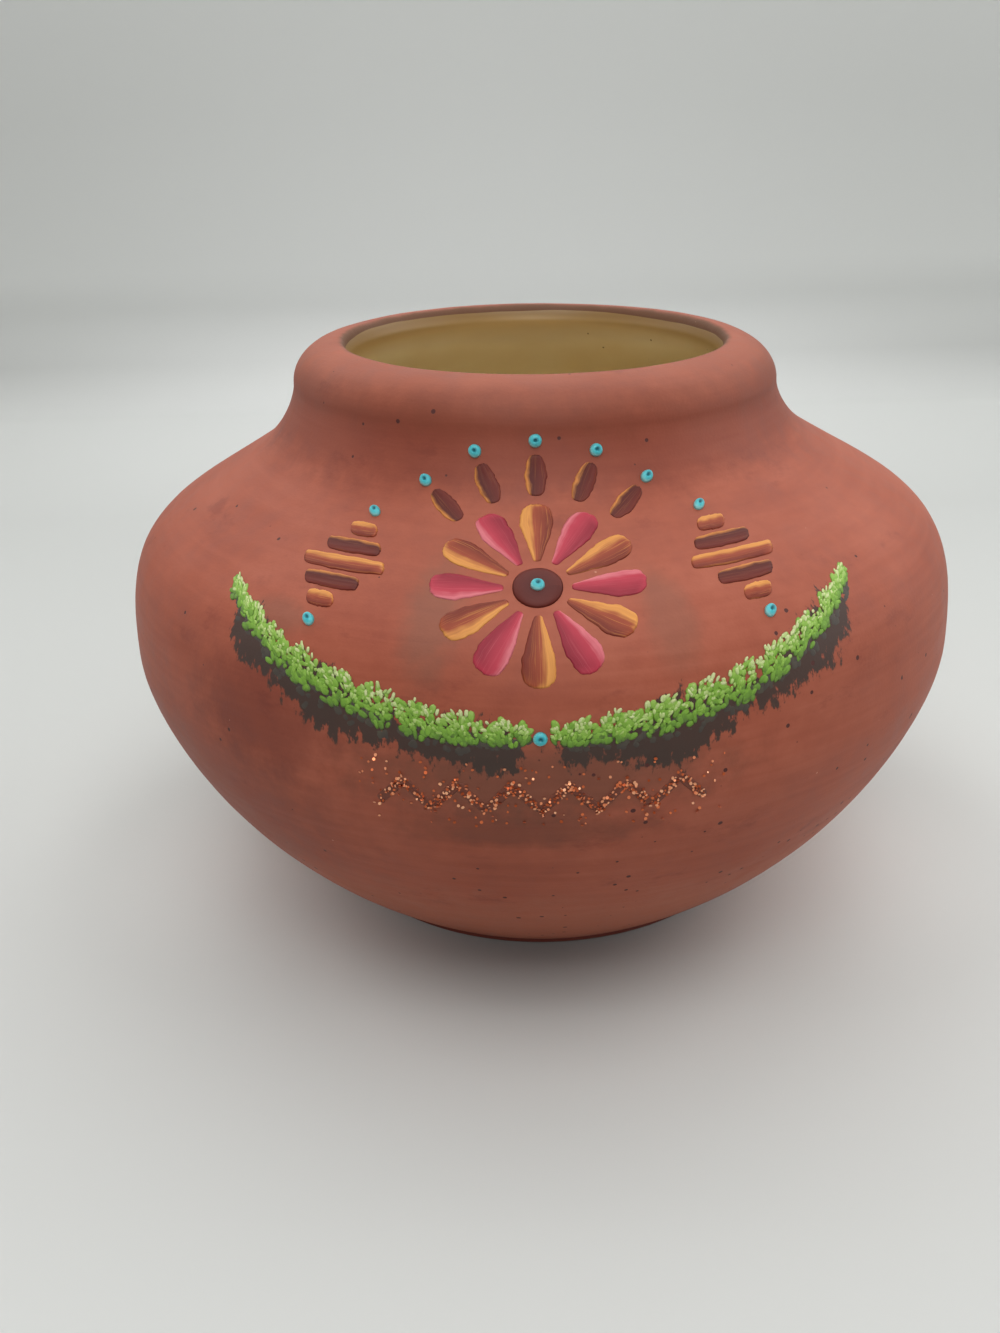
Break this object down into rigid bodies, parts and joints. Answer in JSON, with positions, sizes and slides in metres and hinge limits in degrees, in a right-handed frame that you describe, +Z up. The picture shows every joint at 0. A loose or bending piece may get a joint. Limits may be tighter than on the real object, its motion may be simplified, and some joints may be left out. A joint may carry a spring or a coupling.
{
  "type": "pottery vase",
  "caption": "Squat wide-shouldered earthenware vase with a short neck, rolled-in lip, olive glaze inside and a raised painted rosette and garland on the front.",
  "frame": {"origin": "middle of the foot, on the surface that the pot stands on", "axes": "+Z up along the pot's axis, -Y towards the painted front, +X to the right as the front is seen"},
  "size_m": [0.15, 0.1508, 0.1015],
  "materials": {
    "terracotta": "fired earthenware, smoothed and left unglazed",
    "olive_glaze": "olive satin glaze",
    "ochre_paint": "acrylic paint laid on with a flat brush",
    "maroon_paint": "acrylic paint laid on with a flat brush",
    "crimson_paint": "acrylic paint laid on with a round brush",
    "green_paint": "acrylic paint dabbed on with a stiff brush",
    "turquoise_paint": "thick acrylic paint set down in blobs",
    "copper_glitter": "film flakes in clear binder"
  },
  "bodies": {
    "root": {"clay_body": "terracotta", "interior_glaze": "olive_glaze", "petal_1": "ochre_paint", "petal_2": "crimson_paint", "petal_3": "ochre_paint", "petal_4": "crimson_paint", "petal_5": "ochre_paint", "petal_6": "crimson_paint", "petal_7": "ochre_paint", "petal_8": "crimson_paint", "petal_9": "ochre_paint", "petal_10": "crimson_paint", "petal_11": "ochre_paint", "petal_12": "crimson_paint", "rosette_boss": "maroon_paint", "plume_stroke_1": "maroon_paint", "plume_stroke_2": "maroon_paint", "plume_stroke_3": "maroon_paint", "plume_stroke_4": "maroon_paint", "plume_stroke_5": "maroon_paint", "lozenge_left_bar_1": "ochre_paint", "lozenge_left_bar_2": "maroon_paint", "lozenge_left_bar_3": "ochre_paint", "lozenge_left_bar_4": "maroon_paint", "lozenge_left_bar_5": "ochre_paint", "lozenge_right_bar_1": "ochre_paint", "lozenge_right_bar_2": "maroon_paint", "lozenge_right_bar_3": "ochre_paint", "lozenge_right_bar_4": "maroon_paint", "lozenge_right_bar_5": "ochre_paint", "garland_left": "green_paint", "garland_right": "green_paint", "glitter_zigzag": "copper_glitter", "dot_boss": "turquoise_paint", "dot_garland": "turquoise_paint", "dot_plume_1": "turquoise_paint", "dot_plume_2": "turquoise_paint", "dot_plume_3": "turquoise_paint", "dot_plume_4": "turquoise_paint", "dot_plume_5": "turquoise_paint", "dot_lozenge_left_top": "turquoise_paint", "dot_lozenge_left_bottom": "turquoise_paint", "dot_lozenge_right_top": "turquoise_paint", "dot_lozenge_right_bottom": "turquoise_paint"}
  },
  "joints": []
}
